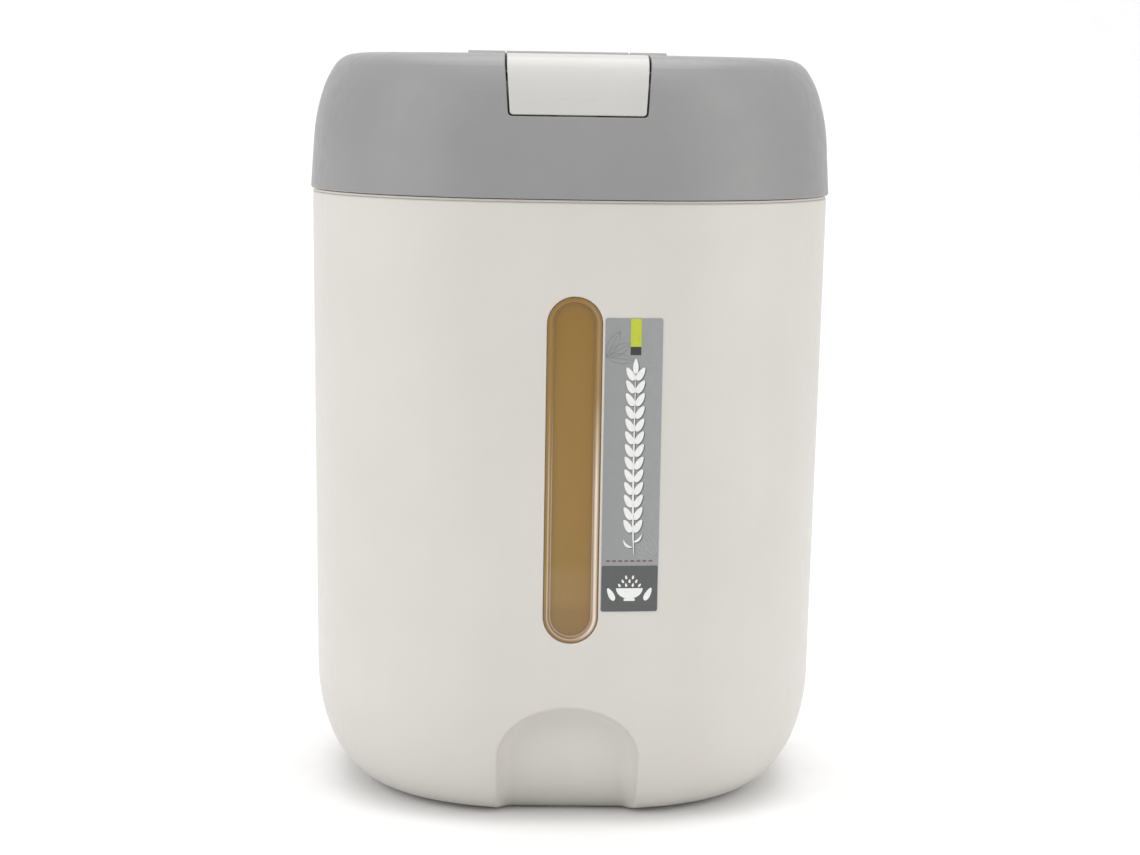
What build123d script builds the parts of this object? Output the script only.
from build123d import *
import os
from math import atan2, degrees, sqrt

os.makedirs("parts", exist_ok=True)

# Grain storage bin: a rounded-square tub, a collar with a D-shaped neck, a fixed rear cover
# and a front lid that flips up about a pin and is held by a rocker button.
# Millimetres. Origin at the middle of the footprint, +Z up, front towards -Y.

# Plan outline: four long side arcs joined by four corner arcs
half_width = 118.8
side_radius = 289.3
corner_radius = 97.5
side_offset = side_radius - half_width
corner_offset = (sqrt(2 * (side_radius - corner_radius) ** 2 - side_offset**2) - side_offset) / 2
side_half_angle = degrees(atan2(corner_offset, corner_offset + side_offset))

# Tub
foot_height = 1.0
rim_height = 274.4
rim_round = 1.0
tub_wall = 2.4
floor_thickness = 3.4
base_round_width = 33.0
base_round_height = 55.0
tub_draft = 3.0
base_round_top = foot_height + base_round_height
base_half_width = half_width - tub_draft - base_round_width
foot_radius = 11.0
foot_spacing = 104.0
foot_socket_depth = 1.6
foot_socket_gap = 0.15

# Grip alcove at the bottom of the front
alcove_half_width = 31.0
alcove_arch_height = 23.5
alcove_spring_height = 30.7
alcove_round = 7.0
alcove_lip_round = 1.6
alcove_wall = 2.6
alcove_back_y = -65.0
alcove_back_z = 50.0
alcove_back_width = 40.3
alcove_back_height = 53.0

# Window and label
window_radius = 11.95
window_length = 151.0
window_height = 158.9
window_seat_depth = 1.6
window_seat_width = 1.3
window_lip_round = 0.7
lens_gap = 0.15
lens_sunk = 0.4
lens_rim_width = 2.65
lens_pan_depth = 1.3
lens_thickness = 2.6
lens_edge_round = 0.35
label_width = 24.8
label_length = 127.8
label_centre_x = 25.4
label_centre_z = 161.6
label_thickness = 0.2
label_corner = 1.0

# Collar: flange on the rim, deck, plug that sits in the tub, and neck round the mouth
flange_thickness = 1.0
flange_inset = 0.5
deck_thickness = 2.0
deck_top = rim_height + flange_thickness
deck_bottom = deck_top - deck_thickness
plug_inset = 2.95
plug_wall = 2.6
plug_depth = 11.4
seal_groove_depth = 1.2
seal_height = 2.4
seal_drop = 6.0
neck_inset = 11.0
neck_wall = 2.0
neck_top = 318.0
seal_outer_inset = 2.6
catch_profile = [
    (-107.0, 296.6),
    (-107.8, 296.6),
    (-109.5, 304.6),
    (-109.5, 306.0),
    (-107.8, 308.0),
    (-107.0, 308.0),
]
mouth_rear = 49.0
mouth_corner = 19.0

# Cap: front lid and rear cover share one outer surface
cap_bottom = 275.7
skirt_edge_top = cap_bottom + 1
cap_skirt_width = 119.7
cap_skirt_top = (118.3, 298.7)
cap_shoulder = [(114.1, 320.5), (108.7, 331.3), (101.0, 336.2), (92.0, 336.9)]
cap_top = 337.3
cap_wall = 2.2
cap_edge_round = 0.7
split_edge_round = 0.5
crown_half_width = 40.0

# Lid hinge
hinge_y = 50.0
hinge_z = 336.6
knuckle_radius = 2.9
knuckle_clearance = 3.2
hinge_half_length = 48.0
rear_knuckle_half = 29.6
knuckle_gap = 0.5
lid_rear_y = 49.6
cover_front_y = 51.1
knuckle_round = 0.4
pin_radius = 1.25
pin_running_gap = 0.05

# Rocker button
button_top_half = 30.35
button_bottom_half = 28.9
button_bottom_z = 311.0
button_shoulder_z = 332.0
button_rear_y = -84.0
button_side_gap = 0.8
button_bottom_gap = 0.6
button_corner = 1.5
button_edge_round = 0.5
pivot_y = -103.5
pivot_z = 328.5
pivot_boss_radius = 2.8
lug_outer_x = 28.0
lug_wall = 2.5
hook_half_width = 8.0
hook_profile = [
    (-114.9, 318.0),
    (-110.4, 318.0),
    (-110.4, 297.0),
    (-108.2, 296.0),
    (-108.2, 293.6),
    (-110.4, 291.4),
    (-112.6, 291.4),
    (-112.6, 311.0),
    (-114.9, 311.6),
]
button_opening_rear_y = -82.8
well_half_width = 32.0
well_wall = 1.8
well_rear_y = -82.8
well_side_profile = [
    (-81.0, 325.0),
    (-81.0, 338.0),
    (-120.0, 338.0),
    (-120.0, 306.0),
    (-109.6, 306.0),
    (-109.6, 325.0),
]

# Lid liner, gasket and springs
liner_bottom = 323.0
liner_thickness = 2.0
liner_top = liner_bottom + liner_thickness
liner_inset = 9.6
liner_rib_drop = 3.0
liner_rib_wall = 1.3
spigot_radius = 1.8
spigot_height = 2.0
gasket_bottom = 318.3
gasket_outer_inset = 10.9
gasket_inner_inset = 14.5
spring_x = 18.0
spring_y = -88.0
spring_radius = 2.6
spring_wire = 0.35
spring_turns = 6
spring_top = 334.6

# Screws
screw_radius = 1.45
screw_head_radius = 2.8
screw_head_height = 1.8
screw_length = 11.0
screw_hole_radius = 1.6
boss_radius = 3.5
boss_bore_radius = 1.5
boss_bore_depth = 10.0
recess_length = 2.6
recess_width = 0.7
recess_depth = 1.0
lid_screws_at = [(78, -62), (88, -5), (55, 30)]
cover_screws_at = [(78, 64), (42, 92)]


def mirrored(points):
    """The given (x, y) points and their mirror images across the middle plane."""
    return [(side * x, y) for x, y in points for side in (-1, 1)]


def plan_face(inset):
    """Flat face of the plan outline, moved inwards by inset."""
    with BuildSketch() as face:
        with BuildLine():
            for turn in range(0, 360, 90):
                side = Vector(-side_offset, 0).rotate(Axis.Z, turn)
                corner = Vector(corner_offset, corner_offset).rotate(Axis.Z, turn)
                CenterArc(side, side_radius - inset, turn - side_half_angle, 2 * side_half_angle)
                CenterArc(corner, corner_radius - inset, turn + side_half_angle, 90 - 2 * side_half_angle)
        make_face()
    return face.sketch


def mouth_face(inset):
    """D-shaped face: the plan outline cut off straight behind the mouth."""
    with BuildSketch() as face:
        add(plan_face(inset))
        with Locations((0, mouth_rear - inset - half_width)):
            Rectangle(2 * half_width, 2 * half_width, mode=Mode.INTERSECT)
        fillet(face.vertices().group_by(Axis.Y)[-1], mouth_corner - inset)
    return face.sketch


def window_face(radius):
    """Upright slot of the window, with round ends of the given radius."""
    with BuildSketch() as face:
        with Locations((0, window_height)):
            SlotOverall(window_length - 2 * (window_radius - radius), 2 * radius, rotation=90)
    return face.sketch


def arch_face(margin):
    """Arch of the grip alcove seen from the front, grown by margin."""
    half = alcove_half_width + margin
    with BuildSketch() as face:
        with BuildLine():
            arch = EllipticalCenterArc(
                (0, alcove_spring_height), half, alcove_arch_height + margin, start_angle=0, arc_size=180
            )
            Polyline(arch @ 1, (-half, 0), (half, 0), arch @ 0)
        make_face()
    return face.sketch


def alcove_back_face(margin):
    """Section of everything behind the alcove's back wall, moved back by margin."""
    top = base_round_top + alcove_round
    with BuildSketch() as face:
        with BuildLine():
            back = EllipticalCenterArc(
                (alcove_back_y, alcove_back_z),
                alcove_back_width - margin,
                alcove_back_height - margin,
                start_angle=180,
                arc_size=90,
            )
            Polyline(back @ 1, (0, (back @ 1).Y), (0, top), ((back @ 0).X, top), back @ 0)
        make_face()
    return face.sketch


def wall_band(outer_inset, inner_inset):
    """Thin band that follows the tub's drafted wall between two depths below its surface."""
    slope = tub_draft / (rim_height - base_round_top)
    low, high = base_round_top, rim_height
    with BuildPart() as band:
        with BuildSketch(Plane.YZ):
            with BuildLine():
                Polyline(
                    (half_width - slope * (rim_height - low) - outer_inset, low),
                    (half_width - slope * (rim_height - high) - outer_inset, high),
                    (half_width - slope * (rim_height - high) - inner_inset, high),
                    (half_width - slope * (rim_height - low) - inner_inset, low),
                    close=True,
                )
            make_face()
        sweep(path=outline_path)
    return band.part


def cap_edge_line():
    """Outer profile of the cap, from the skirt's lower edge over the shoulder to the flat crown."""
    with BuildLine() as profile:
        edge = Line((cap_skirt_width, cap_bottom), cap_skirt_top)
        for point in cap_shoulder:
            edge = TangentArc(edge @ 1, point, tangent=edge % 1)
        Line(edge @ 1, (crown_half_width, cap_top))
    return profile.line


def button_face(grow_side, grow_bottom):
    """The button seen from the front, narrower towards its lower edge, grown by a gap all round."""
    top_half = button_top_half + grow_side
    bottom_half = button_bottom_half + grow_side
    with BuildSketch() as face:
        with BuildLine():
            Polyline(
                (-bottom_half, button_bottom_z - grow_bottom),
                (bottom_half, button_bottom_z - grow_bottom),
                (top_half, button_shoulder_z),
                (top_half, cap_top + cap_wall),
                (-top_half, cap_top + cap_wall),
                (-top_half, button_shoulder_z),
                close=True,
            )
        make_face()
        fillet(face.vertices().group_by(Axis.Y)[0], button_corner + grow_bottom / 2)
    return face.sketch


def screw_group(spots, seat_height):
    """Pan-head screws with crossed recesses, heads below seat_height and shanks above it."""
    with BuildPart() as group:
        with BuildSketch(Plane.XY.offset(seat_height - screw_head_height)):
            with Locations(*spots):
                Circle(screw_head_radius)
        extrude(amount=screw_head_height)
        chamfer(group.edges().group_by(Axis.Z)[0], screw_head_height / 4)
        with BuildSketch(Plane.XY.offset(seat_height)):
            with Locations(*spots):
                Circle(screw_radius)
        extrude(amount=screw_length)
        with BuildSketch(Plane.XY.offset(seat_height - screw_head_height)):
            with Locations(*spots):
                Rectangle(recess_length, recess_width)
                Rectangle(recess_width, recess_length)
        extrude(amount=recess_depth, mode=Mode.SUBTRACT)
    return group.part


# The outline as one closed path that starts at the middle of the back
with BuildLine() as outline_line:
    CenterArc((0, -side_offset), side_radius, 90, side_half_angle)
    for turn in (90, 180, 270, 360):
        corner = Vector(corner_offset, corner_offset).rotate(Axis.Z, turn)
        CenterArc(corner, corner_radius, turn + side_half_angle, 90 - 2 * side_half_angle)
        if turn < 360:
            side = Vector(0, -side_offset).rotate(Axis.Z, turn)
            CenterArc(side, side_radius, turn + 90 - side_half_angle, 2 * side_half_angle)
    CenterArc((0, -side_offset), side_radius, 90 - side_half_angle, side_half_angle)
outline_path = outline_line.wire()

# Tub ------------------------------------------------------------------------------------

# Tool that hollows the grip alcove: the arch, in front of the curved back wall
with BuildPart() as alcove_tool:
    with BuildSketch(Plane.XZ.offset(-alcove_back_y)):
        add(arch_face(0))
    extrude(amount=half_width)
    with BuildSketch(Plane.YZ):
        add(alcove_back_face(0))
    extrude(amount=half_width, both=True, mode=Mode.SUBTRACT)
    back_edges = alcove_tool.faces().sort_by(Axis.Y)[-1].edges()
    fillet(back_edges.filter_by(lambda edge: edge.center().Z > foot_height), alcove_round)

# Wall that closes the alcove on the inside of the tub
with BuildPart() as alcove_wall_part:
    with BuildSketch(Plane.XZ.offset(-alcove_back_y)):
        add(arch_face(alcove_wall))
    extrude(amount=half_width)
    with BuildSketch(Plane.YZ):
        add(alcove_back_face(alcove_wall))
    extrude(amount=half_width, both=True, mode=Mode.SUBTRACT)

# Shallow seat for the lens round the window slot
with BuildPart() as window_seat:
    with BuildSketch(Plane.XZ.offset(base_half_width)):
        add(window_face(window_radius))
    extrude(amount=base_half_width)
    add(wall_band(-window_seat_depth, window_seat_depth), mode=Mode.INTERSECT)

with BuildPart() as tub_hollow:
    with BuildSketch(Plane.YZ):
        with BuildLine():
            base = EllipticalCenterArc(
                (base_half_width, base_round_top),
                base_round_width - tub_wall,
                base_round_height - floor_thickness,
                start_angle=270,
                arc_size=90,
            )
            Polyline(
                base @ 1,
                (half_width - tub_wall, rim_height),
                (base_half_width, rim_height),
                base @ 0,
            )
        make_face()
    sweep(path=outline_path)
    with BuildSketch(Plane.XY.offset(foot_height + floor_thickness)):
        add(plan_face(half_width - base_half_width))
    extrude(amount=rim_height - foot_height - floor_thickness)
    add(alcove_wall_part.part, mode=Mode.SUBTRACT)

with BuildPart() as tub:
    with BuildSketch(Plane.YZ):
        with BuildLine():
            base = EllipticalCenterArc(
                (base_half_width, base_round_top),
                base_round_width,
                base_round_height,
                start_angle=270,
                arc_size=90,
            )
            Polyline(
                base @ 1,
                (half_width, rim_height),
                (base_half_width, rim_height),
                base @ 0,
            )
        tub_section = make_face()
        fillet(tub_section.vertices().group_by(Axis.Y)[-1].sort_by(Axis.X)[-1], rim_round)
    sweep(path=outline_path)
    with BuildSketch(Plane.XY.offset(foot_height)):
        add(plan_face(half_width - base_half_width))
    extrude(amount=rim_height - foot_height)
    # Grip alcove and lens seat, with their lips rounded over
    add(alcove_tool.part, mode=Mode.SUBTRACT)
    fillet(tub.edges(Select.NEW).filter_by(lambda edge: edge.center().Z > foot_height), alcove_lip_round)
    add(window_seat.part, mode=Mode.SUBTRACT)
    fillet(tub.edges(Select.NEW), window_lip_round)
    add(tub_hollow.part, mode=Mode.SUBTRACT)
    with BuildSketch(Plane.XZ.offset(base_half_width)):
        add(window_face(window_radius - window_seat_width))
    extrude(amount=base_half_width, mode=Mode.SUBTRACT)
    with BuildSketch(Plane.XY.offset(foot_height)):
        with GridLocations(foot_spacing, foot_spacing, 2, 2):
            Circle(foot_radius + foot_socket_gap)
    extrude(amount=foot_socket_depth, mode=Mode.SUBTRACT)
tub.part.label = "tub"
export_step(tub.part, "parts/tub.step")

# Rubber feet in their sockets under the floor
for number, spot in enumerate(GridLocations(foot_spacing, foot_spacing, 2, 2), start=1):
    with BuildPart() as foot:
        with BuildSketch(Plane.XY):
            with Locations(spot):
                Circle(foot_radius)
        extrude(amount=foot_height + foot_socket_depth)
        chamfer(foot.edges().group_by(Axis.Z)[0], foot_height / 2)
    foot.part.label = f"foot_pad_{number}"
    export_step(foot.part, f"parts/foot_pad_{number}.step")

# Amber lens: a thin rim in the seat and a pan that drops through the slot
with BuildPart() as lens_rim:
    with BuildSketch(Plane.XZ.offset(base_half_width)):
        add(window_face(window_radius - lens_gap))
    extrude(amount=base_half_width)
    add(wall_band(lens_sunk, window_seat_depth), mode=Mode.INTERSECT)
    fillet(lens_rim.faces().sort_by(Axis.Y)[0].edges(), lens_edge_round)

with BuildPart() as lens_pan:
    with BuildSketch(Plane.XZ.offset(base_half_width)):
        add(window_face(window_radius - window_seat_width - lens_gap))
    extrude(amount=base_half_width)
    add(wall_band(lens_sunk, lens_sunk + lens_thickness), mode=Mode.INTERSECT)

with BuildPart() as lens_recess:
    with BuildSketch(Plane.XZ.offset(base_half_width)):
        add(window_face(window_radius - lens_rim_width))
    extrude(amount=base_half_width)
    add(wall_band(0, lens_sunk + lens_pan_depth), mode=Mode.INTERSECT)
    fillet(lens_recess.faces().sort_by(Axis.Y)[-1].edges(), lens_edge_round)

with BuildPart() as window_lens:
    add(lens_rim.part)
    add(lens_pan.part)
    add(lens_recess.part, mode=Mode.SUBTRACT)
    fillet(window_lens.edges(Select.NEW), lens_edge_round)
window_lens.part.label = "window_lens"
export_step(window_lens.part, "parts/window_lens.step")

# Stick-on label beside the window
with BuildPart() as label:
    with BuildSketch(Plane.XZ.offset(base_half_width)):
        with Locations((label_centre_x, label_centre_z)):
            RectangleRounded(label_width, label_length, label_corner)
    extrude(amount=base_half_width)
    add(wall_band(-label_thickness, 0), mode=Mode.INTERSECT)
label.part.label = "label"
export_step(label.part, "parts/label.step")

# Collar ---------------------------------------------------------------------------------

# Wedge on the front of the neck that the button's hook catches under
with BuildPart() as catch:
    with BuildSketch(Plane.YZ):
        with BuildLine():
            Polyline(catch_profile, close=True)
        make_face()
    extrude(amount=hook_half_width, both=True)

with BuildPart() as collar:
    with BuildSketch(Plane.XY.offset(rim_height)):
        add(plan_face(flange_inset))
    extrude(amount=flange_thickness)
    fillet(collar.edges().group_by(Axis.Z)[-1], flange_thickness / 4)
    with BuildSketch(Plane.XY.offset(deck_bottom)):
        add(plan_face(plug_inset))
    extrude(amount=rim_height - deck_bottom)
    with BuildSketch(Plane.XY.offset(deck_bottom)):
        add(mouth_face(neck_inset + neck_wall))
    extrude(amount=deck_thickness, mode=Mode.SUBTRACT)
    with BuildSketch(Plane.XY.offset(rim_height - plug_depth)):
        add(plan_face(plug_inset))
        add(plan_face(plug_inset + plug_wall), mode=Mode.SUBTRACT)
    extrude(amount=plug_depth)
    with BuildSketch(Plane.XY.offset(rim_height - seal_drop - seal_height)):
        add(plan_face(0))
        add(plan_face(plug_inset + seal_groove_depth), mode=Mode.SUBTRACT)
    extrude(amount=seal_height, mode=Mode.SUBTRACT)
    with BuildSketch(Plane.XY.offset(deck_top)):
        add(mouth_face(neck_inset))
        add(mouth_face(neck_inset + neck_wall), mode=Mode.SUBTRACT)
    extrude(amount=neck_top - deck_top)
    add(catch.part)
    with BuildSketch(Plane.XY.offset(deck_bottom)):
        with Locations(*mirrored(cover_screws_at)):
            Circle(screw_hole_radius)
    extrude(amount=deck_thickness, mode=Mode.SUBTRACT)
collar.part.label = "collar"
export_step(collar.part, "parts/collar.step")

# Seal in the plug's groove, pressed against the tub's inner wall
with BuildPart() as collar_seal:
    with BuildSketch(Plane.XY.offset(rim_height - seal_drop - seal_height)):
        add(plan_face(seal_outer_inset))
        add(plan_face(plug_inset + seal_groove_depth), mode=Mode.SUBTRACT)
    extrude(amount=seal_height)
collar_seal.part.label = "collar_seal"
export_step(collar_seal.part, "parts/collar_seal.step")

# Cap --------------------------------------------------------------------------------------

# Wall of the whole cap, and the same cap filled solid, before they are cut into lid and cover
with BuildPart() as cap_shell:
    with BuildSketch(Plane.YZ):
        with BuildLine():
            add(cap_edge_line())
            offset(amount=cap_wall, side=Side.LEFT, closed=True)
        cap_section = make_face()
        fillet(cap_section.vertices().group_by(Axis.Y)[0:2], cap_edge_round)
    sweep(path=outline_path)
    with BuildSketch(Plane.XY.offset(cap_top - cap_wall)):
        add(plan_face(half_width - crown_half_width))
    extrude(amount=cap_wall)

with BuildPart() as cap_solid:
    with BuildSketch(Plane.YZ):
        with BuildLine():
            add(cap_edge_line())
            Polyline(
                (crown_half_width, cap_top),
                (crown_half_width, cap_bottom),
                (cap_skirt_width, cap_bottom),
            )
        make_face()
    sweep(path=outline_path)
    with BuildSketch(Plane.XY.offset(cap_bottom)):
        add(plan_face(half_width - crown_half_width))
    extrude(amount=cap_top - cap_bottom)



def on_cap_surface(edge):
    """Whether an edge lies on the cap's outer surface, so that a step outwards leaves the cap."""
    outwards = Vector(0, -cap_wall, cap_wall) / 8
    return not cap_solid.part.is_inside(edge.center() + outwards)


# Hinge knuckles of the lid (two outer ones) and of the rear cover (one long middle one)
lid_knuckle_length = hinge_half_length - rear_knuckle_half - knuckle_gap
lid_knuckle_x = hinge_half_length - lid_knuckle_length / 2
with BuildPart() as lid_knuckles:
    for side in (-1, 1):
        with BuildSketch(Plane.YZ.offset(side * lid_knuckle_x)):
            with Locations((hinge_y, hinge_z)):
                Circle(knuckle_radius)
        extrude(amount=lid_knuckle_length / 2, both=True)
    fillet(lid_knuckles.edges().filter_by(GeomType.CIRCLE), knuckle_round)

with BuildPart() as rear_knuckle:
    with BuildSketch(Plane.YZ):
        with Locations((hinge_y, hinge_z)):
            Circle(knuckle_radius)
    extrude(amount=rear_knuckle_half, both=True)
    fillet(rear_knuckle.edges().filter_by(GeomType.CIRCLE), knuckle_round)

# Clearance round the other part's knuckles
with BuildPart() as lid_knuckle_room:
    for side in (-1, 1):
        with BuildSketch(Plane.YZ.offset(side * lid_knuckle_x)):
            with Locations((hinge_y, hinge_z)):
                Circle(knuckle_clearance)
        extrude(amount=lid_knuckle_length / 2 + knuckle_gap / 2, both=True)

with BuildPart() as rear_knuckle_room:
    with BuildSketch(Plane.YZ):
        with Locations((hinge_y, hinge_z)):
            Circle(knuckle_clearance)
    extrude(amount=rear_knuckle_half + knuckle_gap / 2, both=True)

# Lid ----------------------------------------------------------------------------------------

# Opening for the button, straight down through the crown
with BuildPart() as button_opening:
    with BuildSketch(Plane.XZ.offset(-button_opening_rear_y)):
        add(button_face(button_side_gap, button_bottom_gap))
    extrude(amount=half_width + button_opening_rear_y + cap_wall)

# Everything inside the lid's outer surface, with the opening and the rear edge rounded over
with BuildPart() as lid_block:
    add(cap_solid.part)
    split(bisect_by=Plane(origin=(0, lid_rear_y, 0), z_dir=(0, 1, 0)), keep=Keep.BOTTOM)
    rear_edges = lid_block.faces().filter_by(Axis.Y).sort_by(SortBy.AREA)[-1].edges()
    fillet(rear_edges.filter_by(lambda edge: edge.center().Z > skirt_edge_top), split_edge_round)
    add(button_opening.part, mode=Mode.SUBTRACT)
    lip_edges = lid_block.edges(Select.NEW)
    fillet(lip_edges.filter_by(lambda edge: edge.center().Y < button_rear_y), button_edge_round)

# Walls round the opening, from the crown down to the liner, which also carry the pivot pin
with BuildPart() as button_well:
    for side in (-1, 1):
        with BuildSketch(Plane.YZ.offset(side * well_half_width)):
            with BuildLine():
                Polyline(well_side_profile, close=True)
            make_face()
        extrude(amount=well_wall * side)
    with BuildSketch(Plane.XY.offset(liner_top)):
        with Locations((0, well_rear_y + well_wall / 2)):
            Rectangle(2 * (well_half_width + well_wall), well_wall)
    extrude(amount=cap_top - liner_top)
    add(cap_solid.part, mode=Mode.INTERSECT)

with BuildPart() as lid_bosses:
    with BuildSketch(Plane.XY.offset(liner_top)):
        with Locations(*mirrored(lid_screws_at)):
            Circle(boss_radius)
    extrude(amount=cap_top - cap_wall / 2 - liner_top)

with BuildPart() as lid_shell:
    add(cap_shell.part)
    add(lid_block.part, mode=Mode.INTERSECT)
    add(rear_knuckle_room.part, mode=Mode.SUBTRACT)
    add(lid_knuckles.part)
    add(button_well.part)
    add(lid_bosses.part)
    with BuildSketch(Plane.YZ):
        with Locations((hinge_y, hinge_z)):
            Circle(pin_radius + pin_running_gap)
        with Locations((pivot_y, pivot_z)):
            Circle(pin_radius)
    extrude(amount=hinge_half_length, both=True, mode=Mode.SUBTRACT)
    with BuildSketch(Plane.XY.offset(liner_top)):
        with Locations(*mirrored(lid_screws_at)):
            Circle(boss_bore_radius)
    extrude(amount=boss_bore_depth, mode=Mode.SUBTRACT)
lid_shell.part.label = "lid_shell"
export_step(lid_shell.part, "parts/lid_shell.step")

# Liner: plate under the crown with two ribs that hold the gasket, and two spring spigots
with BuildPart() as lid_liner:
    with BuildSketch(Plane.XY.offset(liner_bottom)):
        add(mouth_face(liner_inset))
        with Locations(*mirrored(lid_screws_at)):
            Circle(screw_hole_radius, mode=Mode.SUBTRACT)
    extrude(amount=liner_thickness)
    with BuildSketch(Plane.XY.offset(liner_bottom - liner_rib_drop)):
        add(mouth_face(liner_inset))
        add(mouth_face(gasket_outer_inset), mode=Mode.SUBTRACT)
        add(mouth_face(gasket_inner_inset))
        add(mouth_face(gasket_inner_inset + liner_rib_wall), mode=Mode.SUBTRACT)
    extrude(amount=liner_rib_drop)
    with BuildSketch(Plane.XY.offset(liner_top)):
        with Locations((-spring_x, spring_y), (spring_x, spring_y)):
            Circle(spigot_radius)
    extrude(amount=spigot_height)
lid_liner.part.label = "lid_liner"
export_step(lid_liner.part, "parts/lid_liner.step")

# Soft gasket that closes on the neck
with BuildPart() as lid_gasket:
    with BuildSketch(Plane.XY.offset(gasket_bottom)):
        add(mouth_face(gasket_outer_inset))
        add(mouth_face(gasket_inner_inset), mode=Mode.SUBTRACT)
    extrude(amount=liner_bottom - gasket_bottom)
lid_gasket.part.label = "lid_gasket"
export_step(lid_gasket.part, "parts/lid_gasket.step")

# Screws that hold the liner up to the lid
with BuildPart() as lid_screws:
    add(screw_group(mirrored(lid_screws_at), liner_bottom))
lid_screws.part.label = "lid_screws"
export_step(lid_screws.part, "parts/lid_screws.step")

# Button ---------------------------------------------------------------------------------------

# The piece of the cap's wall inside the button's outline, with its outer edges rounded over
with BuildPart() as button_plate:
    with BuildSketch(Plane.XZ.offset(-button_rear_y)):
        add(button_face(0, 0))
    extrude(amount=half_width + button_rear_y + cap_wall)
    add(cap_shell.part, mode=Mode.INTERSECT)
    fillet(button_plate.edges(Select.NEW).filter_by(on_cap_surface), button_edge_round)

# Pivot lugs under the button, and the arm with its hook
with BuildPart() as button_lugs:
    for side in (-1, 1):
        with BuildSketch(Plane.YZ.offset(side * lug_outer_x)):
            with Locations((pivot_y, pivot_z)):
                Circle(pivot_boss_radius)
            with Locations((pivot_y, (pivot_z + cap_top) / 2)):
                Rectangle(2 * pivot_boss_radius, cap_top - pivot_z)
        extrude(amount=-lug_wall * side)
    add(cap_solid.part, mode=Mode.INTERSECT)

with BuildPart() as button_hook:
    with BuildSketch(Plane.YZ):
        with BuildLine():
            Polyline(hook_profile, close=True)
        make_face()
    extrude(amount=hook_half_width, both=True)

with BuildPart() as latch_button:
    add(button_plate.part)
    add(button_lugs.part)
    add(button_hook.part)
    with BuildSketch(Plane.YZ):
        with Locations((pivot_y, pivot_z)):
            Circle(pin_radius + pin_running_gap)
    extrude(amount=lug_outer_x, both=True, mode=Mode.SUBTRACT)
latch_button.part.label = "latch_button"
export_step(latch_button.part, "parts/latch_button.step")

# Pivot pin of the button, held in the two side walls of the well
with BuildPart() as latch_pin:
    with BuildSketch(Plane.YZ):
        with Locations((pivot_y, pivot_z)):
            Circle(pin_radius)
    extrude(amount=well_half_width + well_wall, both=True)
latch_pin.part.label = "latch_pin"
export_step(latch_pin.part, "parts/latch_pin.step")

# Return springs that stand on the liner and push the back of the button up
for name, x in (("left", -spring_x), ("right", spring_x)):
    with BuildPart() as spring:
        with BuildLine():
            coil = Helix(
                pitch=(spring_top - liner_top - 2 * spring_wire) / spring_turns,
                height=spring_top - liner_top - 2 * spring_wire,
                radius=spring_radius,
                center=(x, spring_y, liner_top + spring_wire),
            )
        with BuildSketch(Plane(origin=coil @ 0, z_dir=coil % 0)):
            Circle(spring_wire)
        sweep()
    spring.part.label = f"latch_spring_{name}"
    export_step(spring.part, f"parts/latch_spring_{name}.step")

# Rear cover -------------------------------------------------------------------------------------

with BuildPart() as cover_bulkhead:
    with BuildSketch(Plane.XY.offset(cap_bottom)):
        with Locations((0, cover_front_y + cap_wall / 2)):
            Rectangle(2 * half_width, cap_wall)
    extrude(amount=cap_top - cap_wall / 2 - cap_bottom)
    add(cap_solid.part, mode=Mode.INTERSECT)

with BuildPart() as cover_bosses:
    with BuildSketch(Plane.XY.offset(deck_top)):
        with Locations(*mirrored(cover_screws_at)):
            Circle(boss_radius)
    extrude(amount=cap_top - cap_wall - deck_top)

# Everything inside the cover's outer surface, with its front edge rounded over
with BuildPart() as cover_block:
    add(cap_solid.part)
    split(bisect_by=Plane(origin=(0, cover_front_y, 0), z_dir=(0, 1, 0)), keep=Keep.TOP)
    front_edges = cover_block.faces().filter_by(Axis.Y).sort_by(SortBy.AREA)[-1].edges()
    fillet(front_edges.filter_by(lambda edge: edge.center().Z > skirt_edge_top), split_edge_round)

with BuildPart() as rear_cover:
    add(cap_shell.part)
    add(cover_block.part, mode=Mode.INTERSECT)
    add(cover_bulkhead.part)
    add(cover_bosses.part)
    add(lid_knuckle_room.part, mode=Mode.SUBTRACT)
    add(rear_knuckle.part)
    with BuildSketch(Plane.YZ):
        with Locations((hinge_y, hinge_z)):
            Circle(pin_radius)
    extrude(amount=hinge_half_length, both=True, mode=Mode.SUBTRACT)
    with BuildSketch(Plane.XY.offset(deck_top)):
        with Locations(*mirrored(cover_screws_at)):
            Circle(boss_bore_radius)
    extrude(amount=boss_bore_depth, mode=Mode.SUBTRACT)
rear_cover.part.label = "rear_cover"
export_step(rear_cover.part, "parts/rear_cover.step")

# Screws that hold the rear cover down, put in from under the deck
with BuildPart() as rear_cover_screws:
    add(screw_group(mirrored(cover_screws_at), deck_bottom))
rear_cover_screws.part.label = "rear_cover_screws"
export_step(rear_cover_screws.part, "parts/rear_cover_screws.step")

# Hinge pin through all three knuckles
with BuildPart() as hinge_pin:
    with BuildSketch(Plane.YZ):
        with Locations((hinge_y, hinge_z)):
            Circle(pin_radius)
    extrude(amount=hinge_half_length, both=True)
hinge_pin.part.label = "hinge_pin"
export_step(hinge_pin.part, "parts/hinge_pin.step")
